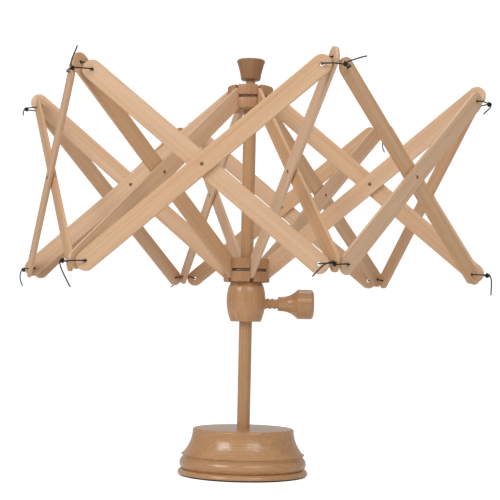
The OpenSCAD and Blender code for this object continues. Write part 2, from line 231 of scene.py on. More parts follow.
LOWER_TAILS = [
    [(0.0108, -0.0034, -0.0014), (0.0119, -0.0014, -0.0052), (0.0120, 0.0016, -0.0100),
     (0.0116, 0.0050, -0.0152), (0.0112, 0.0086, -0.0202), (0.0108, 0.0122, -0.0250)],
    [(0.0102, -0.0074, 0.0006), (0.0114, -0.0116, 0), (0.0120, -0.0158, -0.0022),
     (0.0124, -0.0196, -0.0054), (0.0126, -0.0232, -0.0090), (0.0126, -0.0266, -0.0126)],
    [(0.0108, -0.0036, -0.0012), (0.0120, -0.0038, -0.0050), (0.0122, -0.0038, -0.0100),
     (0.0120, -0.0038, -0.0154), (0.0118, -0.0038, -0.0210)],
    [(0.0108, -0.0040, 0.0006), (0.0120, -0.0038, 0.0036), (0.0122, -0.0034, 0.0074),
     (0.0120, -0.0030, 0.0112)],
    [(0.0108, -0.0032, -0.0014), (0.0130, -0.0006, -0.0034), (0.0144, 0.0040, -0.0056),
     (0.0148, 0.0088, -0.0082), (0.0146, 0.0134, -0.0114)],
    [(0.0108, -0.0038, -0.0014), (0.0122, -0.0040, -0.0052), (0.0124, -0.0042, -0.0100),
     (0.0112, -0.0044, -0.0146), (0.0092, -0.0046, -0.0188)]]
UPPER_HANG, LOWER_HANG, TIP_SET = 0.008, 0.002, 0.005
STRING_D, KNOT_D = 0.0014, 0.0056
print("points in the longest route:", len(LOWER_LOOP) + len(LOWER_TAILS[0]))


# %% Smooth curves and round sections along them
def smooth(points, steps):
    """Catmull-Rom curve: between two points, a cubic whose slopes come from their neighbours."""
    p = np.vstack([2 * points[0] - points[1], points, 2 * points[-1] - points[-2]])
    t = np.linspace(0, 1, steps, endpoint=False)[None, :, None]
    a, b, c, d = (p[i:len(p) - 3 + i, None, :] for i in range(4))
    curve = 0.5 * (2 * b + (c - a) * t + (2 * a - 5 * b + 4 * c - d) * t**2
                   + (3 * b - 3 * c + d - a) * t**3)
    return np.vstack([curve.reshape(-1, 3), points[-1:]])


def carried_frames(path, closed=False):
    """Two side directions at each point, carried along the path so that they never spin."""
    ahead = np.roll(path, -1, 0) - np.roll(path, 1, 0)
    if not closed:
        ahead[0], ahead[-1] = path[1] - path[0], path[-1] - path[-2]
    ahead = unit(ahead)
    side = np.cross(ahead[0], [0.3, 0.5, 0.8])
    sides = []
    for direction in ahead:
        side = unit(side - direction * (side @ direction))
        sides.append(side)
    sides = np.array(sides)
    return sides, np.cross(ahead, sides)


def laid_string(path, diameter, around=18, lay=0.0042, closed=False):
    """Tube whose radius dips between three strands, the dips turning once in the length lay."""
    sides, others = carried_frames(path, closed)
    run = np.concatenate([[0], np.cumsum(np.linalg.norm(np.diff(path, axis=0), axis=1))])[:, None]
    angle = np.linspace(0, 2 * np.pi, around, endpoint=False)[None, :]
    strand = np.abs(np.cos(1.5 * (angle - 2 * np.pi * run / lay)))
    radius = (diameter / 2 * (0.84 + 0.16 * strand))[..., None]
    ring = np.cos(angle)[..., None] * sides[:, None] + np.sin(angle)[..., None] * others[:, None]
    return path[:, None] + radius * ring


def capped(tube, path):
    """The tube with both ends drawn in to the path's end points."""
    first = np.broadcast_to(path[0], tube[:1].shape)
    last = np.broadcast_to(path[-1], tube[:1].shape)
    return np.vstack([first, tube, last])


# %% Tie the twelve tips
def corner_place(k, upper):
    """Where a tie's own axes sit: at the corner of the drum, level with the rim slats' holes."""
    turn = "upper_tie_turn_%d" % k if upper else "lower_tie_turn_%d" % k
    tangent = hinge_axis(turn)
    outward = np.cross(tangent, UP)
    hole = hinge_point(turn)
    middle = outward * (hole @ outward + TIP_SET)
    middle[2] = hole[2] - (UPPER_HANG if upper else LOWER_HANG)
    return placing(middle, outward, tangent, UP)


def knot_path(steps=120):
    """Overhand knot: a trefoil, three times round the middle of its tube for twice round the ring."""
    t = np.linspace(0, 2 * np.pi, steps, endpoint=False)
    scale = (KNOT_D - STRING_D) / 6
    return scale * np.column_stack([(2 + np.cos(3 * t)) * np.cos(2 * t), 1.25 * np.sin(3 * t),
                                    (2 + np.cos(3 * t)) * np.sin(2 * t)])


def tie(k, upper):
    """One tie: the string from its knot through the three slats and back, its tail, and the knot."""
    name = "%s_tie_%d" % ("upper" if upper else "lower", k)
    loop, tails = (UPPER_LOOP, UPPER_TAILS) if upper else (LOWER_LOOP, LOWER_TAILS)
    place = corner_place(k, upper)
    path = smooth(np.vstack([loop, tails[k - 1]]), 10)
    centre = (loop[0] + loop[-1]) / 2
    body = name.replace("tie", "tie_body")
    string = piece(name + "_string", [(capped(laid_string(path, STRING_D), path), False, True)],
                   place, body, [name], sharp=60)
    turns = knot_path()
    lump = piece(name + "_knot", [(laid_string(turns + centre, STRING_D, closed=True), True, True)],
                 place, body, [], sharp=60)
    length = float(np.linalg.norm(np.diff(path, axis=0), axis=1).sum())
    return string, lump, length


strings, lengths = [], []
for k in TIPS:
    for upper in (True, False):
        string, lump, length = tie(k, upper)
        strings += [string, lump]
        lengths.append(length)
print("ties:", len(lengths), "from %.3f to %.3f m long" % (min(lengths), max(lengths)))

# %% [markdown]
# ## Slats
# A slat is a flat strip of beech, 19 mm wide and 3.5 mm thick, round at both ends, with a hole at
# each end and one in the middle for the rivet. Sanding has eased its edges by half a millimetre.
# A strip with three holes isn't one grid, but it is three: round each hole, rays run from the rim
# of the hole to the outline. The eased edge is a quarter circle carried round the outline.

# %% Outline of a slat, hole by hole
SLAT_W, SLAT_T, SLAT_GAP = 0.019, 0.0035, 0.0005
EASE, HOLE_EASE = 0.0005, 0.0002
HINGE_HOLE, RIVET_D, STRING_HOLE = 0.0022, 0.0020, 0.0040
LAYER = (SLAT_T + SLAT_GAP) / 2


def slat_zone(left, middle, right, left_round, right_round):
    """Points round one hole's part of the outline, counterclockwise, with outward directions.

    Straight edges and round ends have an outward direction of length 1, a cut line between two
    zones has none.
    """
    half = SLAT_W / 2
    side = np.linspace(0, 1, 9)
    bend = np.linspace(-np.pi / 2, np.pi / 2, 25)
    cut = np.linspace(-1, 1, 9)[1:-1]
    low = middle if left_round else left
    high = middle if right_round else right
    x = low + (high - low) * side
    bottom = (np.column_stack([x, np.full(9, -half)]), np.tile([0.0, -1.0], (9, 1)))
    top = (np.column_stack([x[::-1], np.full(9, half)]), np.tile([0.0, 1.0], (9, 1)))
    ends = []
    for rounded, at, sign in ((right_round, right, 1), (left_round, left, -1)):
        if rounded:
            out = np.column_stack([np.cos(bend), np.sin(bend)]) * sign
            ends.append((out[1:-1] * half + [middle, 0], out[1:-1]))
        else:
            line = np.column_stack([np.full(7, at), cut * (half - EASE) * sign])
            ends.append((line, np.zeros((7, 2))))
    runs = [bottom, ends[0], top, ends[1]]
    return np.vstack([r[0] for r in runs]), np.vstack([r[1] for r in runs])


def slat_grids(length, holes):
    """Faces, hole walls and eased edges of a slat that lies along x with its holes along z."""
    places = np.array([0.0, length / 2, length])
    cuts = (places[:-1] + places[1:]) / 2
    limits = np.array([-SLAT_W / 2, *cuts, length + SLAT_W / 2])
    ease = np.linspace(0, np.pi / 2, 4)
    edge_in = np.concatenate([EASE * (1 - np.sin(ease)), EASE * (1 - np.sin(ease[::-1]))])
    edge_z = np.concatenate([SLAT_T / 2 - EASE * (1 - np.cos(ease)),
                             -SLAT_T / 2 + EASE * (1 - np.cos(ease[::-1]))])
    grids = []
    for i, hole in enumerate(holes):
        outline, out = slat_zone(limits[i], places[i], limits[i + 1], i == 0, i == 2)
        inset = outline - EASE * out
        ray = unit(inset - [places[i], 0])
        rim = [places[i], 0] + ray * (hole / 2 + HOLE_EASE)
        wall = [places[i], 0] + ray * hole / 2
        for face in (1, -1):
            z = np.full(len(rim), face * SLAT_T / 2)
            steps = np.linspace(0, 1, 3)[:, None, None]
            flat = rim + (inset - rim) * steps
            grids.append((np.dstack([flat, np.tile(z, (3, 1))]), False, True))
        depth = SLAT_T / 2 - HOLE_EASE
        shaft = [(rim, SLAT_T / 2), (wall, depth), (wall, -depth), (rim, -SLAT_T / 2)]
        grids.append((np.stack([np.column_stack([p, np.full(len(p), z)]) for p, z in shaft]), False, True))
        for run in edge_runs(out):
            band = outline[run][None] - out[run][None] * edge_in[:, None, None]
            heights = np.tile(edge_z[:, None, None], (1, len(run), 1))
            grids.append((np.concatenate([band, heights], 2), False, False))
    return grids


def edge_runs(out):
    """Numbers of the neighbouring points that lie on a real edge, one list for each stretch."""
    on_edge = np.linalg.norm(out, axis=1) > 0.5
    order = np.roll(np.arange(len(out)), -np.flatnonzero(~on_edge)[-1] - 1)
    breaks = np.flatnonzero(np.diff(on_edge[order].astype(int)) != 0) + 1
    return [run for run in np.split(order, breaks) if on_edge[run[0]]]


# %% Lay out the twenty-four slats
def slat(name, body, start, end, face, holes):
    """A slat from one hole's centre to the other's, its flat side facing along face."""
    length = float(np.linalg.norm(end - start))
    along = unit(end - start)
    place = placing(start, along, np.cross(face, along), face)
    thing = piece(name + "_strip", slat_grids(length, holes), place, body, [name], sharp=30)
    give_grain(thing, place)
    return thing


hub_holes = (HINGE_HOLE, RIVET_D + 0.0001, STRING_HOLE)
rim_holes = (STRING_HOLE, RIVET_D + 0.0001, STRING_HOLE)
slats = []
for k in TIPS:
    fold = "fold" if k == 1 else "upper_slat_fold_%d" % k
    face = hinge_axis(fold)
    start = hinge_point(fold)
    cross = hinge_point("lower_slat_cross_%d" % k)
    slats.append(slat("upper_hub_slat_%d" % k, "upper_slat_body_%d" % k, start,
                      2 * (cross + face * LAYER) - start, face, hub_holes))
    tip = hinge_point("upper_tie_turn_%d" % k)
    slats.append(slat("lower_hub_slat_%d" % k, "lower_slat_body_%d" % k,
                      2 * (cross - face * LAYER) - tip, tip, face, hub_holes))
    face = hinge_axis("inner_rim_turn_%d" % k)
    start = hinge_point("inner_rim_turn_%d" % k)
    cross = hinge_point("outer_rim_cross_%d" % k)
    end = 2 * (cross - face * LAYER) - start
    slats.append(slat("inner_rim_slat_%d" % k, "inner_rim_body_%d" % k, start, end, face, rim_holes))
    shift = 2 * LAYER * face
    low = np.array([start[0], start[1], end[2]]) + shift
    high = np.array([end[0], end[1], start[2]]) + shift
    slats.append(slat("outer_rim_slat_%d" % k, "outer_rim_body_%d" % k, low, high, face, rim_holes))
print("slats:", len(slats), "faces each:", len(slats[0].data.polygons))


# %% [markdown]
# ## Turned pieces
# The base, post, knob, barrel, thumbscrew, rivets and felt pad are all round about one line, so each
# is a profile carried round it. The profile is drawn as a maker would describe it, with straight
# runs and swells of a given height, and one helper turns a swell into an arc.

# %% Swells, and profiles carried round an axis
def swell(a, b, height, steps=14):
    """Points on the arc from a to b that bulges by height to the right of the way from a to b."""
    a, b = np.array(a, float), np.array(b, float)
    run = np.linalg.norm(b - a)
    u = (b - a) / run
    v = np.array([u[1], -u[0]])
    half = 2 * np.arctan(2 * height / run)
    radius = run / (2 * np.sin(half))
    angle = np.linspace(-half, half, steps)[:, None]
    return (a + b) / 2 + v * (height - radius) + radius * (v * np.cos(angle) + u * np.sin(angle))


def quarter(r):
    """How far a quarter circle of radius r bulges from its chord."""
    return r * (1 - np.sqrt(0.5))


def turned(profile, around=96, ripple=None):
    """Grid of points: profile rows are (radius, height), carried round z; ripple adds to radius."""
    angle = np.linspace(0, 2 * np.pi, around, endpoint=False)[None, :]
    radius = profile[:, :1] * np.ones_like(angle)
    height = profile[:, 1:] * np.ones_like(angle)
    if ripple is not None:
        radius = radius + ripple(angle, height)
    return np.dstack([radius * np.cos(angle), radius * np.sin(angle), height])


def upright(z=0.0):
    """Place of a piece that is turned about the swift's own axis."""
    return placing((0, 0, z), (1, 0, 0), (0, 1, 0), UP)


def fibres_up(place):
    """The same place with the fibres along the piece's axis, for wood turned lengthwise."""
    return placing(place[:3, 3], place[:3, 2], place[:3, 0], place[:3, 1])


# %% [markdown]
# The base is a block turned on its face, so its fibres lie flat: a round foot, a bead between two
# grooves, a small step and a hollow sweep that rises to the flat top.

# %% Base and felt pad
BASE_D, BASE_TOP_D, BASE_H, FELT_T = 0.140, 0.1094, 0.050, 0.0015
POST_D, NECK_D = 0.014, 0.010
foot_r, top_r = BASE_D / 2, BASE_TOP_D / 2
foot_top = FELT_T + 0.0006 + 0.0069 - 0.0021
bead_top = foot_top + 0.0124
step_top = bead_top + 0.0034
step_r = foot_r - 0.0035
rise = np.linspace(0, 1, 40)[:, None]
sweep = np.hstack([top_r + (step_r - 0.0015 - top_r) * (1 - rise)**2,
                   step_top + (BASE_H - 0.0025 - step_top) * rise])
base_profile = np.vstack([
    [(0, FELT_T), (foot_r - 0.0006, FELT_T)],
    swell((foot_r - 0.0005, FELT_T), (foot_r, FELT_T + 0.0006), 0.0001, 4),
    swell((foot_r, FELT_T + 0.0008), (foot_r - 0.0046, foot_top), quarter(0.0046)),
    swell((foot_r - 0.0048, foot_top), (foot_r - 0.0052, bead_top), 0.0032, 28),
    swell((foot_r - 0.0055, bead_top), (step_r, step_top - 0.0006), -0.0006, 8),
    swell((step_r, step_top - 0.0005), (step_r - 0.0005, step_top), quarter(0.0005), 5),
    sweep,
    swell((top_r, BASE_H - 0.0025), (top_r - 0.0025, BASE_H), quarter(0.0025)),
    [(0, BASE_H)]])
base = piece("base_turned", [(turned(base_profile, 160), False, True)], upright(), "stand", ["base"],
             sharp=28)
give_grain(base, upright(), tone=0.5)

felt_profile = np.vstack([
    [(0, 0)], swell((foot_r - 0.0020, 0), (foot_r - 0.0015, 0.0005), quarter(0.0005), 5),
    [(foot_r - 0.0015, FELT_T), (0, FELT_T)]])
felt = piece("felt_disc", [(turned(felt_profile, 160), False, True)], upright(), "stand",
             ["felt_pad"])
print("base faces:", len(base.data.polygons))

# %% [markdown]
# The post is one dowel with a thinner neck, which the upper hub turns on, and the knob is glued on
# top: a short cone, wide and flat at the top, with softened edges.

# %% Post and knob
post_low, post_high = (corner.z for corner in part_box("post"))
shoulder_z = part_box("upper_hub")[0].z - 0.0002
post_profile = np.vstack([
    [(0, post_low), (POST_D / 2, post_low), (POST_D / 2, shoulder_z - 0.0005)],
    swell((POST_D / 2, shoulder_z - 0.0004), (POST_D / 2 - 0.0004, shoulder_z), quarter(0.0004), 5),
    [(NECK_D / 2, shoulder_z), (NECK_D / 2, post_high), (0, post_high)]])
post = piece("post_dowel", [(turned(post_profile, 48), False, True)], upright(), "stand",
             ["post"])
give_grain(post, fibres_up(upright()), tone=0.35)

KNOB_H, KNOB_TOP_D, KNOB_FOOT_D = 0.0224, 0.031, 0.0212
knob_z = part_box("knob")[0].z
knob_profile = np.vstack([
    [(NECK_D / 2 + 0.0001, KNOB_H / 2), (NECK_D / 2 + 0.0001, 0)],
    swell((KNOB_FOOT_D / 2 - 0.0010, 0), (KNOB_FOOT_D / 2, 0.0010), quarter(0.0010), 6),
    swell((KNOB_FOOT_D / 2 + 0.0001, 0.0014), (KNOB_TOP_D / 2, KNOB_H - 0.0020), -0.0005),
    swell((KNOB_TOP_D / 2, KNOB_H - 0.0020), (KNOB_TOP_D / 2 - 0.0020, KNOB_H), quarter(0.0020)),
    [(0, KNOB_H), (0, KNOB_H / 2)]])
knob = piece("knob_turned", [(turned(knob_profile, 72), False, True)], upright(knob_z), "stand", ["knob"])
# Tone 1.5 paints the whole knob darker than its plank: painted shade.
give_grain(knob, fibres_up(upright(knob_z)), tone=1.5)
print("post from %.3f to %.3f m, knob at %.3f m" % (post_low, post_high, knob_z))

# %% [markdown]
# The barrel slides on the post under the lower hub, and the thumbscrew in its side clamps it. The
# screw's thread is a coarse ridge in wood. It is the profile's own radius plus a ridge that climbs
# one pitch for each turn: a ripple of height and angle together makes the helix.

# %% Barrel and thumbscrew
BARREL_H, BARREL_D, BARREL_TOP_D, BARREL_FOOT_D = 0.0425, 0.042, 0.034, 0.0336
THREAD_D, THREAD_DEPTH, THREAD_PITCH, THREAD_SHOW = 0.0118, 0.0010, 0.005, 0.0136
barrel_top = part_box("barrel")[1].z
bore_r = POST_D / 2 + 0.00008
neck_ring = (BARREL_TOP_D / 2 + 0.0023, -0.0052)
belly = BARREL_D / 2 - (BARREL_FOOT_D / 2 + neck_ring[0]) / 2
barrel_profile = np.vstack([
    [(bore_r, -BARREL_H + 0.0004), (bore_r + 0.0004, -BARREL_H), (BARREL_FOOT_D / 2 - 0.0011, -BARREL_H)],
    swell((BARREL_FOOT_D / 2 - 0.0010, -BARREL_H), (BARREL_FOOT_D / 2, -BARREL_H + 0.0010),
          quarter(0.0010), 6),
    swell((BARREL_FOOT_D / 2, -BARREL_H + 0.0012), neck_ring, belly, 40),
    swell((neck_ring[0], neck_ring[1] + 0.0001), (BARREL_TOP_D / 2 + 0.0002, -0.0004), -0.0001, 10),
    swell((BARREL_TOP_D / 2, -0.0003), (BARREL_TOP_D / 2 - 0.0004, 0), 0.0001, 4),
    [(bore_r + 0.0004, 0), (bore_r, -0.0004)]])
barrel = piece("barrel_turned", [(turned(barrel_profile, 96), True, True)], upright(barrel_top),
               "barrel_body", ["barrel"], sharp=24)
give_grain(barrel, fibres_up(upright(barrel_top)), tone=0.4)

screw_place = placing((0, 0, hinge_point("thumbscrew_turn")[2]), (0, 1, 0), (0, 0, 1), (1, 0, 0))
screw_tip, screw_end = (corner.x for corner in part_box("thumbscrew"))
thread_end = BARREL_D / 2 + THREAD_SHOW
root_r = THREAD_D / 2 - THREAD_DEPTH
NECK_R, FLARE_L, HEAD_R, HEAD_ROUND = 0.00775, 0.021, 0.016, 0.004
head_start = thread_end + FLARE_L
flare = np.linspace(0, 1, 40)[:, None]
screw_profile = np.vstack([
    [(0, screw_tip), (root_r - 0.0006, screw_tip)],
    np.column_stack([np.full(160, root_r), np.linspace(screw_tip + 0.0006, thread_end, 160)]),
    swell((NECK_R - 0.0010, thread_end), (NECK_R, thread_end + 0.0008), quarter(0.0008), 6),
    np.hstack([NECK_R + (HEAD_R - 0.0005 - NECK_R) * flare**2.6,
               thread_end + 0.0009 + (FLARE_L - 0.0009) * flare]),
    swell((HEAD_R - 0.0004, head_start + 0.0002), (HEAD_R, head_start + 0.0020), 0.0002, 6),
    swell((HEAD_R, screw_end - HEAD_ROUND), (HEAD_R - HEAD_ROUND, screw_end), quarter(HEAD_ROUND), 16),
    [(0, screw_end)]])


def thread(angle, height):
    """A rounded ridge once round for each pitch, fading at both ends of the threaded length."""
    phase = (height / THREAD_PITCH - angle / (2 * np.pi)) % 1.0
    ridge = np.clip(1.35 - 3.6 * np.abs(phase - 0.5), 0, 1)
    ridge = ridge * ridge * (3 - 2 * ridge)
    start = np.clip((height - screw_tip) / 0.004, 0, 1)
    finish = np.clip((thread_end - 0.0006 - height) / 0.0022, 0, 1)
    return THREAD_DEPTH * ridge * start * finish


screw = piece("thumbscrew_turned", [(turned(screw_profile, 72, thread), False, True)], screw_place,
              "screw_body", ["thumbscrew"], sharp=50)
give_grain(screw, fibres_up(screw_place), tone=0.55)
print("thumbscrew from %.4f to %.4f m" % (screw_tip, screw_end))

# %% [markdown]
# ## Hubs, hinge wires and rivets
# Each hub is a turned disc with six slots sawn into it and a groove round its waist for the wire
# that the slats hinge on. The solid model already has that shape exactly, so its mesh is copied,
# its doubled points merged, and a small bevel softens the sawn edges.

# %% Soften the hubs
def softened(node, name, body, width):
    """A merged copy of a CAD node with every sharp edge bevelled by width."""
    source = frame["nodes"][node]
    mesh = source.data.copy()
    mesh.materials.clear()
    work = bmesh.new()
    work.from_mesh(mesh)
    bmesh.ops.remove_doubles(work, verts=work.verts, dist=1e-6)
    bmesh.ops.dissolve_limit(work, angle_limit=np.radians(1), verts=work.verts, edges=work.edges)
    work.to_mesh(mesh)
    work.free()
    thing = bpy.data.objects.new(name, mesh)
    bpy.context.scene.collection.objects.link(thing)
    bevel = thing.modifiers.new("eased", "BEVEL")
    bevel.width = width
    bevel.segments = 2
    bevel.limit_method = "ANGLE"
    bevel.angle_limit = np.radians(40)
    bevel.harden_normals = False
    mesh.polygons.foreach_set("use_smooth", np.ones(len(mesh.polygons), bool))
    mesh.set_sharp_from_angle(angle=np.radians(25))
    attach(thing, body)
    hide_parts(node)
    return thing


hubs = []
for node, body, z in (("upper_hub", "rotor", hinge_point("fold")[2]),
                      ("lower_hub", "lower_hub_body", hinge_point("lower_hub_hold")[2])):
    hub = softened(node, node + "_sawn", body, 0.0003)
    give_grain(hub, fibres_up(upright(z)), tone=0.8)
    hubs.append(hub)
print("hub faces:", [len(hub.data.polygons) for hub in hubs])

# %% Hinge wires and rivets
WIRE_D, HINGE_R = 0.0015, float(np.hypot(*(hinge_point("fold") - hinge_axis("fold") * LAYER)[:2]))
ring_r = float(np.hypot(HINGE_R, LAYER))
turn = np.linspace(0, 2 * np.pi, 16, endpoint=False)
wire_profile = np.column_stack([ring_r + WIRE_D / 2 * np.cos(turn), WIRE_D / 2 * np.sin(turn)])
wires = []
for node, body, z in (("upper_wire", "rotor", hinge_point("fold")[2]),
                      ("lower_wire", "lower_hub_body", hinge_point("lower_hub_hold")[2])):
    wires.append(piece(node + "_ring", [(turned(wire_profile, 120), True, True)], upright(z), body, [node],
                       sharp=60))

HEAD_D, HEAD_H = 0.0038, 0.0009
grip = SLAT_T + SLAT_GAP / 2
dome = swell((HEAD_D / 2, grip + 0.00002), (0.0, grip + HEAD_H), HEAD_H * 0.35, 9)
half_rivet = np.vstack([[(RIVET_D / 2, 0), (RIVET_D / 2, grip), (HEAD_D / 2 - 0.0001, grip)], dome])
rivet_profile = np.vstack([half_rivet[::-1] * [1, -1], half_rivet[1:]])
rivets = []
for k in TIPS:
    for name, cross, body in (("hub_slat_rivet_%d", "lower_slat_cross_%d", "upper_slat_body_%d"),
                              ("rim_slat_rivet_%d", "outer_rim_cross_%d", "inner_rim_body_%d")):
        axis = hinge_axis(cross % k)
        place = placing(hinge_point(cross % k), UP, np.cross(axis, UP), axis)
        rivets.append(piece(name % k + "_domed", [(turned(rivet_profile, 32), False, True)], place,
                            body % k, [name % k], sharp=40))
print("wires:", len(wires), "rivets:", len(rivets))

# %% [markdown]
# ## Finishes
# Materials are built from nodes. What several finishes share goes into a node group with named
# inputs and outputs: here the figure of beech. Its streaks are noise drawn out along the fibres,
# its bands are wider and softer, and its flecks are the short brown dashes that mark beech.

# %% Helpers for node trees
def new_node(tree, kind, settings=None, **inputs):
    """A node with its settings, and its sockets either set to a value or linked to another socket."""
    node = tree.nodes.new(kind)
    for key, value in (settings or {}).items():
        setattr(node, key, value)
    for key, value in inputs.items():
        socket = node.inputs[int(key[1:])] if key[0] == "i" and key[1:].isdigit() else node.inputs[
            key.replace("_", " ")]
        if isinstance(value, bpy.types.NodeSocket):
            tree.links.new(value, socket)
        else:
            socket.default_value = value
    return node


def math_node(tree, operation, *values, clamp=False):
    """A Math node's output, with numbers or sockets as its values."""
    node = new_node(tree, "ShaderNodeMath", {"operation": operation, "use_clamp": clamp},
                    **{"i%d" % i: value for i, value in enumerate(values)})
    return node.outputs[0]


def mix_colour(tree, factor, a, b, blend="MIX"):
    """A Mix node's colour output."""
    settings = {"data_type": "RGBA", "blend_type": blend}
    return new_node(tree, "ShaderNodeMix", settings, i0=factor, i6=a, i7=b).outputs[2]


def stretched(tree, vector, scale):
    """A vector multiplied by a scale for each axis."""
    return new_node(tree, "ShaderNodeMapping", Vector=vector, Scale=scale).outputs[0]


def noise(tree, vector, scale, detail, roughness=0.55, distortion=0.0):
    """Noise value at a stretched vector."""
    node = new_node(tree, "ShaderNodeTexNoise", Vector=stretched(tree, vector, scale), Scale=1.0,
                    Detail=detail, Roughness=roughness, Distortion=distortion)
    return node.outputs[0]


def remap(tree, value, low, high, to_low=0.0, to_high=1.0):
    """A value carried from one range to another, held at its ends."""
    node = new_node(tree, "ShaderNodeMapRange", i0=value, i1=low, i2=high, i3=to_low, i4=to_high)
    return node.outputs[0]


def linear(r, g, b):
    """A colour as a screen shows it, from 0 to 1, as the linear light that Blender mixes."""
    c = np.array([r, g, b])
    return tuple(np.where(c <= 0.04045, c / 12.92, ((c + 0.055) / 1.055) ** 2.4)) + (1.0,)


def new_group(name, inputs, outputs):
    """An empty node group with its sockets, its tree and the sockets inside it."""
    tree = bpy.data.node_groups.new(name, "ShaderNodeTree")
    kinds = {"vector": "NodeSocketVector", "colour": "NodeSocketColor", "value": "NodeSocketFloat"}
    for label, kind in inputs:
        tree.interface.new_socket(name=label, in_out="INPUT", socket_type=kinds[kind])
    for label, kind in outputs:
        tree.interface.new_socket(name=label, in_out="OUTPUT", socket_type=kinds[kind])
    inside = tree.nodes.new("NodeGroupInput")
    outside = tree.nodes.new("NodeGroupOutput")
    return tree, inside.outputs, outside.inputs


# %% The figure of beech
beech, given, shown = new_group(
    "beech_figure",
    [("Grain", "vector"), ("Tone", "value"), ("Pale", "colour"), ("Warm", "colour"), ("Dark", "colour"),
     ("Streaks", "value"), ("Flecks", "value")],
    [("Color", "colour"), ("Height", "value"), ("Sheen Loss", "value")])
grain = given["Grain"]
bands = noise(beech, grain, (2.2, 55, 55), 3.0, 0.5, 0.6)
streaks = noise(beech, grain, (6, 420, 420), 5.0, 0.6)
fine = noise(beech, grain, (40, 2600, 2600), 2.0, 0.6)
cells = new_node(beech, "ShaderNodeTexVoronoi", {"feature": "F1"}, Scale=1.0,
                 Vector=stretched(beech, grain, (420, 2300, 2300)))
lens = remap(beech, cells.outputs["Distance"], 0.16, 0.34, 1.0, 0.0)
chosen = new_node(beech, "ShaderNodeSeparateColor", i0=cells.outputs["Color"]).outputs[0]
fleck = math_node(beech, "MULTIPLY", lens, remap(beech, chosen, 0.62, 0.66))
warmth = math_node(beech, "ADD", math_node(beech, "MULTIPLY", given["Tone"], 0.55),
                   remap(beech, bands, 0.30, 0.72, 0.0, 0.55), clamp=True)
colour = mix_colour(beech, warmth, given["Pale"], given["Warm"])
line = math_node(beech, "MULTIPLY", remap(beech, streaks, 0.42, 0.74), given["Streaks"])
colour = mix_colour(beech, line, colour, given["Dark"])
mark = math_node(beech, "MULTIPLY", fleck, given["Flecks"])
colour = mix_colour(beech, mark, colour, given["Dark"])
# A tone above 1 multiplies the colour down: painted shade, used to darken the knob.
shade = remap(beech, given["Tone"], 1.0, 2.0, 1.0, 0.4)
painted_shade_grey = new_node(beech, "ShaderNodeCombineColor", i0=shade, i1=shade, i2=shade).outputs[0]
colour = mix_colour(beech, 1.0, colour, painted_shade_grey, "MULTIPLY")
beech.links.new(colour, shown["Color"])
pits = math_node(beech, "ADD", math_node(beech, "MULTIPLY", fine, 0.7),
                 math_node(beech, "MULTIPLY", streaks, 0.5))
height = math_node(beech, "SUBTRACT", pits, math_node(beech, "MULTIPLY", mark, 0.5))
beech.links.new(height, shown["Height"])
beech.links.new(math_node(beech, "ADD", line, mark, clamp=True), shown["Sheen Loss"])
print("beech group nodes:", len(beech.nodes))


# %% [markdown]
# The slats are sanded and only lightly sealed, so they look nearly bare. The turned pieces have the
# same wood under clear varnish, which deepens the colour and adds a gloss coat.

# %% Slat wood and turned wood
def new_material(name, roughness, **sockets):
    """A material with an empty tree but for its Principled shader, whose plain sockets are set."""
    material = bpy.data.materials.new(name)
    material.use_nodes = True
    tree = material.node_tree
    shader = tree.nodes["Principled BSDF"]
    shader.inputs["Roughness"].default_value = roughness
    for key, value in sockets.items():
        shader.inputs[key.replace("_", " ")].default_value = value
    return material, tree, shader


def attribute(tree, name):
    """The outputs of an attribute that the mesh carries."""
    return new_node(tree, "ShaderNodeAttribute", {"attribute_name": name}).outputs


def bumped(tree, shader, height, strength, distance):
    """Feed a height to the shader's normal through a Bump node."""
    bump = new_node(tree, "ShaderNodeBump", Strength=strength, Distance=distance, Height=height)
    tree.links.new(bump.outputs[0], shader.inputs["Normal"])


def wood_material(name, pale, warm, dark, streak, flecks, dull, shine, coat, bump):
    """Beech with its own colours; dull and shine are the roughness in and out of the streaks."""
    material, tree, shader = new_material(name, shine, Coat_Weight=coat, Coat_Roughness=0.14, Coat_IOR=1.5,
                                          Specular_IOR_Level=0.4)
    figure = new_node(tree, "ShaderNodeGroup", {"node_tree": beech})
    tree.links.new(attribute(tree, "grain")["Vector"], figure.inputs["Grain"])
    tree.links.new(attribute(tree, "tone")["Fac"], figure.inputs["Tone"])
    for label, value in (("Pale", pale), ("Warm", warm), ("Dark", dark), ("Streaks", streak),
                         ("Flecks", flecks)):
        figure.inputs[label].default_value = value
    tree.links.new(figure.outputs["Color"], shader.inputs["Base Color"])
    tree.links.new(remap(tree, figure.outputs["Sheen Loss"], 0, 1, shine, dull), shader.inputs["Roughness"])
    bumped(tree, shader, figure.outputs["Height"], bump, 0.0002)
    return material


slat_wood = wood_material("slat_beech", linear(0.90, 0.77, 0.65), linear(0.83, 0.65, 0.47),
                          linear(0.64, 0.45, 0.30), 0.30, 0.50, 0.62, 0.46, 0.0, 0.35)
turned_wood = wood_material("varnished_beech", linear(0.82, 0.65, 0.47), linear(0.74, 0.54, 0.36),
                            linear(0.52, 0.34, 0.20), 0.38, 0.6, 0.40, 0.30, 0.5, 0.12)
hub_wood = wood_material("hub_beech", linear(0.80, 0.63, 0.47), linear(0.72, 0.52, 0.36),
                         linear(0.48, 0.32, 0.20), 0.40, 0.5, 0.55, 0.40, 0.15, 0.25)
for thing in slats:
    thing.data.materials.append(slat_wood)
for thing in (base, post, knob, barrel, screw):
    thing.data.materials.append(turned_wood)
for thing in hubs:
    thing.data.materials.append(hub_wood)
print("wood on", len(slats) + 7, "pieces")

# %% [markdown]
# Waxed string is nearly black with a soft gloss and a fine fuzz of fibres. The felt pad is black and
# quite dull. The wire is drawn steel, and the rivets are small domed heads of dull brass.

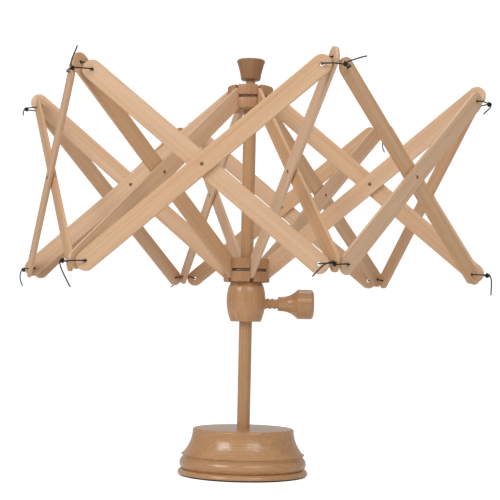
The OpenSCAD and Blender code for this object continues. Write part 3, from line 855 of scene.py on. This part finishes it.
# %% String, felt, wire and rivets
string_black, tree, shader = new_material("waxed_string", 0.42, Specular_IOR_Level=0.5)
here = tree.nodes.new("ShaderNodeTexCoord").outputs["Object"]
fibre = noise(tree, here, (3800, 3800, 3800), 3.0, 0.65)
tree.links.new(mix_colour(tree, fibre, linear(0.025, 0.022, 0.024), linear(0.10, 0.09, 0.095)),
               shader.inputs["Base Color"])
tree.links.new(remap(tree, fibre, 0.3, 0.7, 0.34, 0.58), shader.inputs["Roughness"])
bumped(tree, shader, fibre, 0.5, 0.0001)

felt_black, tree, shader = new_material("black_felt", 0.95, Specular_IOR_Level=0.2, Sheen_Weight=0.3)
here = tree.nodes.new("ShaderNodeTexCoord").outputs["Object"]
fuzz = noise(tree, here, (1600, 1600, 1600), 4.0, 0.7)
tree.links.new(mix_colour(tree, fuzz, linear(0.05, 0.05, 0.055), linear(0.17, 0.165, 0.17)),
               shader.inputs["Base Color"])
bumped(tree, shader, fuzz, 0.9, 0.0004)

drawn_steel, tree, shader = new_material("drawn_steel", 0.32, Metallic=1.0)
here = tree.nodes.new("ShaderNodeTexCoord").outputs["Object"]
drawn = noise(tree, here, (500, 500, 6000), 3.0, 0.6)
tree.links.new(mix_colour(tree, drawn, linear(0.60, 0.61, 0.63), linear(0.78, 0.79, 0.80)),
               shader.inputs["Base Color"])
tree.links.new(remap(tree, drawn, 0.3, 0.7, 0.24, 0.42), shader.inputs["Roughness"])
bumped(tree, shader, drawn, 0.2, 0.00005)

dull_brass, tree, shader = new_material("dull_brass", 0.38, Metallic=1.0)
here = tree.nodes.new("ShaderNodeTexCoord").outputs["Object"]
tarnish = noise(tree, here, (900, 900, 900), 4.0, 0.6)
tree.links.new(mix_colour(tree, tarnish, linear(0.36, 0.29, 0.19), linear(0.66, 0.57, 0.40)),
               shader.inputs["Base Color"])
tree.links.new(remap(tree, tarnish, 0.3, 0.7, 0.52, 0.30), shader.inputs["Roughness"])
bumped(tree, shader, tarnish, 0.3, 0.00006)

for group, material in ((strings, string_black), ([felt], felt_black), (wires, drawn_steel),
                        (rivets, dull_brass)):
    for thing in group:
        thing.data.materials.append(material)
print("materials:", len(bpy.data.materials))

# %% [markdown]
# ## Studio
# The photograph is a plain product picture on white. The floor sweeps up into a backdrop. A broad
# lamp stands high on the left, a second one to the right of the camera makes the bright spots on the
# base and the barrel, and one from above lifts the tops. The floor is shown white to the camera by a
# little glow of its own, and keeps the shadow.

# %% Floor, backdrop and lamps
SWEEP_R, FLOOR_FRONT, FLOOR_BACK, WALL_TOP, HALF_WIDTH = 0.8, -4.0, 2.2, 4.5, 5.0
bend = np.linspace(0, np.pi / 2, 24)
across = np.linspace(-HALF_WIDTH, HALF_WIDTH, 9)[None, :]
line_y = np.concatenate([[FLOOR_FRONT, 0.0], FLOOR_BACK + SWEEP_R * np.sin(bend),
                         [FLOOR_BACK + SWEEP_R]])[:, None]
line_z = np.concatenate([[0, 0], SWEEP_R * (1 - np.cos(bend)), [WALL_TOP]])[:, None]
sweep_grid = np.dstack([across + 0 * line_y, line_y + 0 * across, line_z + 0 * across])
floor_mesh = bpy.data.meshes.new("floor")
floor_mesh.from_pydata(sweep_grid.reshape(-1, 3).tolist(), [],
                       grid_faces(len(line_y), 9, False, False).tolist())
floor_mesh.polygons.foreach_set("use_smooth", np.ones(len(floor_mesh.polygons), bool))
floor = bpy.data.objects.new("floor", floor_mesh)
bpy.context.scene.collection.objects.link(floor)

paper, tree, shader = new_material("white_paper", 0.9, Specular_IOR_Level=0.1)
shader.inputs["Base Color"].default_value = (0.86, 0.86, 0.86, 1)
ray = tree.nodes.new("ShaderNodeLightPath")
glow = new_node(tree, "ShaderNodeEmission", Color=(1, 1, 1, 1), Strength=math_node(
    tree, "MULTIPLY", ray.outputs["Is Camera Ray"], 0.62))
both = new_node(tree, "ShaderNodeAddShader", i0=shader.outputs[0], i1=glow.outputs[0])
tree.links.new(both.outputs[0], tree.nodes["Material Output"].inputs["Surface"])
floor_mesh.materials.append(paper)

world = bpy.data.worlds.new("studio")
bpy.context.scene.world = world
world.use_nodes = True
tree = world.node_tree
ray = tree.nodes.new("ShaderNodeLightPath")
sky = tree.nodes["Background"]
sky.inputs["Color"].default_value = (1, 1, 1, 1)
tree.links.new(remap(tree, ray.outputs["Is Camera Ray"], 0, 1, 0.34, 1.0), sky.inputs["Strength"])


def lamp(name, place, target, size, power, colour=(1, 1, 1)):
    """A square area lamp that faces a point."""
    data = bpy.data.lights.new(name, "AREA")
    data.size = size
    data.energy = power
    data.color = colour
    thing = bpy.data.objects.new(name, data)
    bpy.context.scene.collection.objects.link(thing)
    aim = Vector(target) - Vector(place)
    thing.matrix_world = Matrix.Translation(place) @ aim.to_track_quat("-Z", "Y").to_matrix().to_4x4()
    return thing


middle = (0, 0, 0.25)
lamp("key", (-1.7, -1.6, 1.7), middle, 1.2, 30)
lamp("front", (0.75, -1.65, 1.45), middle, 1.0, 12)
lamp("top", (0.2, 0.9, 2.2), middle, 1.2, 8)
bpy.context.scene.view_settings.view_transform = "Standard"
